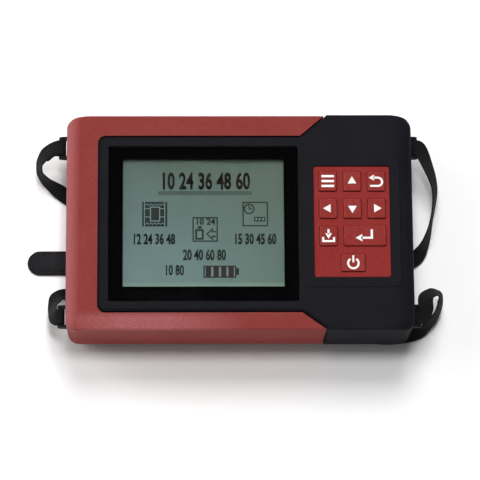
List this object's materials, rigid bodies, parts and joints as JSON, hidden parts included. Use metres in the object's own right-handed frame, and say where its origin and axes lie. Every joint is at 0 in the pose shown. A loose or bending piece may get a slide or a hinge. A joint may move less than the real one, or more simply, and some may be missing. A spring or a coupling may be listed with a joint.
{
  "type": "stud finder display unit",
  "caption": "Hand-held rebar and stud detector display unit: two-tone moulded case with a liquid-crystal screen, red keypad, cable socket and webbing hand strap.",
  "frame": {"origin": "middle of the case's flat back, on the outer face of the red back shell", "axes": "+X to the right of the screen along the long side, +Y to the far long side with the sockets, +Z out through the screen"},
  "size_m": [0.2753, 0.1458, 0.057],
  "materials": {
    "red_case": "fine spark-eroded grain, satin",
    "black_case": "fine spark-eroded grain, satin",
    "tray": "plain moulded",
    "panel": "semi-gloss",
    "key": "semi-gloss with printed white symbols",
    "window": "clear, black printed border",
    "bezel": "tin-plated sheet",
    "display": "grey-green liquid crystal",
    "diffuser": "white diffuser",
    "board": "solder-masked laminate",
    "silicone": "moulded silicone",
    "buzzer": "plain moulded",
    "cell_sleeve": "plain sleeved cell",
    "contact": "nickel-plated",
    "screw": "zinc-plated",
    "rubber": "matt",
    "socket_metal": "nickel-plated",
    "socket_black": "plain moulded",
    "lug": "plain moulded",
    "webbing": "woven nylon",
    "leather": "grained, stitched border"
  },
  "bodies": {
    "case": {"back_shell_black": "black_case", "back_shell_red": "red_case", "battery_cell_1": "cell_sleeve", "battery_cell_2": "cell_sleeve", "battery_cell_3": "cell_sleeve", "battery_cell_4": "cell_sleeve", "battery_cell_5": "cell_sleeve", "battery_cell_6": "cell_sleeve", "battery_tray": "tray", "buzzer": "buzzer", "case_screw_1": "screw", "case_screw_2": "screw", "case_screw_3": "screw", "case_screw_4": "screw", "case_screw_5": "screw", "case_screw_6": "screw", "charge_socket": "socket_black", "contact_strip_left": "contact", "contact_strip_right": "contact", "cover_pin": "screw", "data_socket": "socket_metal", "display_backlight": "diffuser", "display_bezel": "bezel", "display_board": "board", "display_cell": "display", "foot_1": "rubber", "foot_2": "rubber", "foot_3": "rubber", "foot_4": "rubber", "front_shell_black": "black_case", "front_shell_red": "red_case", "key_board": "board", "key_mat": "silicone", "keypad_panel": "panel", "main_board": "board", "palm_band": "leather", "probe_socket": "socket_metal", "screen_window": "window", "socket_nut": "socket_metal", "strap_left_far": "webbing", "strap_left_near": "webbing", "strap_lug_left_far": "lug", "strap_lug_left_near": "lug", "strap_lug_right_far": "lug", "strap_lug_right_near": "lug", "strap_right_far": "webbing", "strap_right_near": "webbing"},
    "battery_hatch": {"battery_hatch": "red_case"},
    "port_cover": {"port_cover": "rubber"},
    "key_menu": {"key_menu": "key"},
    "key_up": {"key_up": "key"},
    "key_back": {"key_back": "key"},
    "key_left": {"key_left": "key"},
    "key_down": {"key_down": "key"},
    "key_right": {"key_right": "key"},
    "key_save": {"key_save": "key"},
    "key_enter": {"key_enter": "key"},
    "key_power": {"key_power": "key"}
  },
  "joints": [
    {"name": "key_menu_press", "type": "slide", "parent": "case", "child": "key_menu", "axis": [0, 0, -1], "range_m": [0, 0.0009], "stiffness_N_per_m": 900},
    {"name": "key_up_press", "type": "slide", "parent": "case", "child": "key_up", "axis": [0, 0, -1], "range_m": [0, 0.0009], "stiffness_N_per_m": 900},
    {"name": "key_back_press", "type": "slide", "parent": "case", "child": "key_back", "axis": [0, 0, -1], "range_m": [0, 0.0009], "stiffness_N_per_m": 900},
    {"name": "key_left_press", "type": "slide", "parent": "case", "child": "key_left", "axis": [0, 0, -1], "range_m": [0, 0.0009], "stiffness_N_per_m": 900},
    {"name": "key_down_press", "type": "slide", "parent": "case", "child": "key_down", "axis": [0, 0, -1], "range_m": [0, 0.0009], "stiffness_N_per_m": 900},
    {"name": "key_right_press", "type": "slide", "parent": "case", "child": "key_right", "axis": [0, 0, -1], "range_m": [0, 0.0009], "stiffness_N_per_m": 900},
    {"name": "key_save_press", "type": "slide", "parent": "case", "child": "key_save", "axis": [0, 0, -1], "range_m": [0, 0.0009], "stiffness_N_per_m": 900},
    {"name": "key_enter_press", "type": "slide", "parent": "case", "child": "key_enter", "axis": [0, 0, -1], "range_m": [0, 0.0009], "stiffness_N_per_m": 900},
    {"name": "key_power_press", "type": "slide", "parent": "case", "child": "key_power", "axis": [0, 0, -1], "range_m": [0, 0.0009], "stiffness_N_per_m": 900},
    {"name": "battery_hatch_slide", "type": "slide", "parent": "case", "child": "battery_hatch", "axis": [0, 1, 0], "range_m": [0, 0.052]},
    {"name": "port_cover_hinge", "type": "hinge", "parent": "case", "child": "port_cover", "pos_m": [0.081, 0.07145, 0.02022], "axis": [-1, 0, 0], "range_deg": [0, 100]}
  ]
}
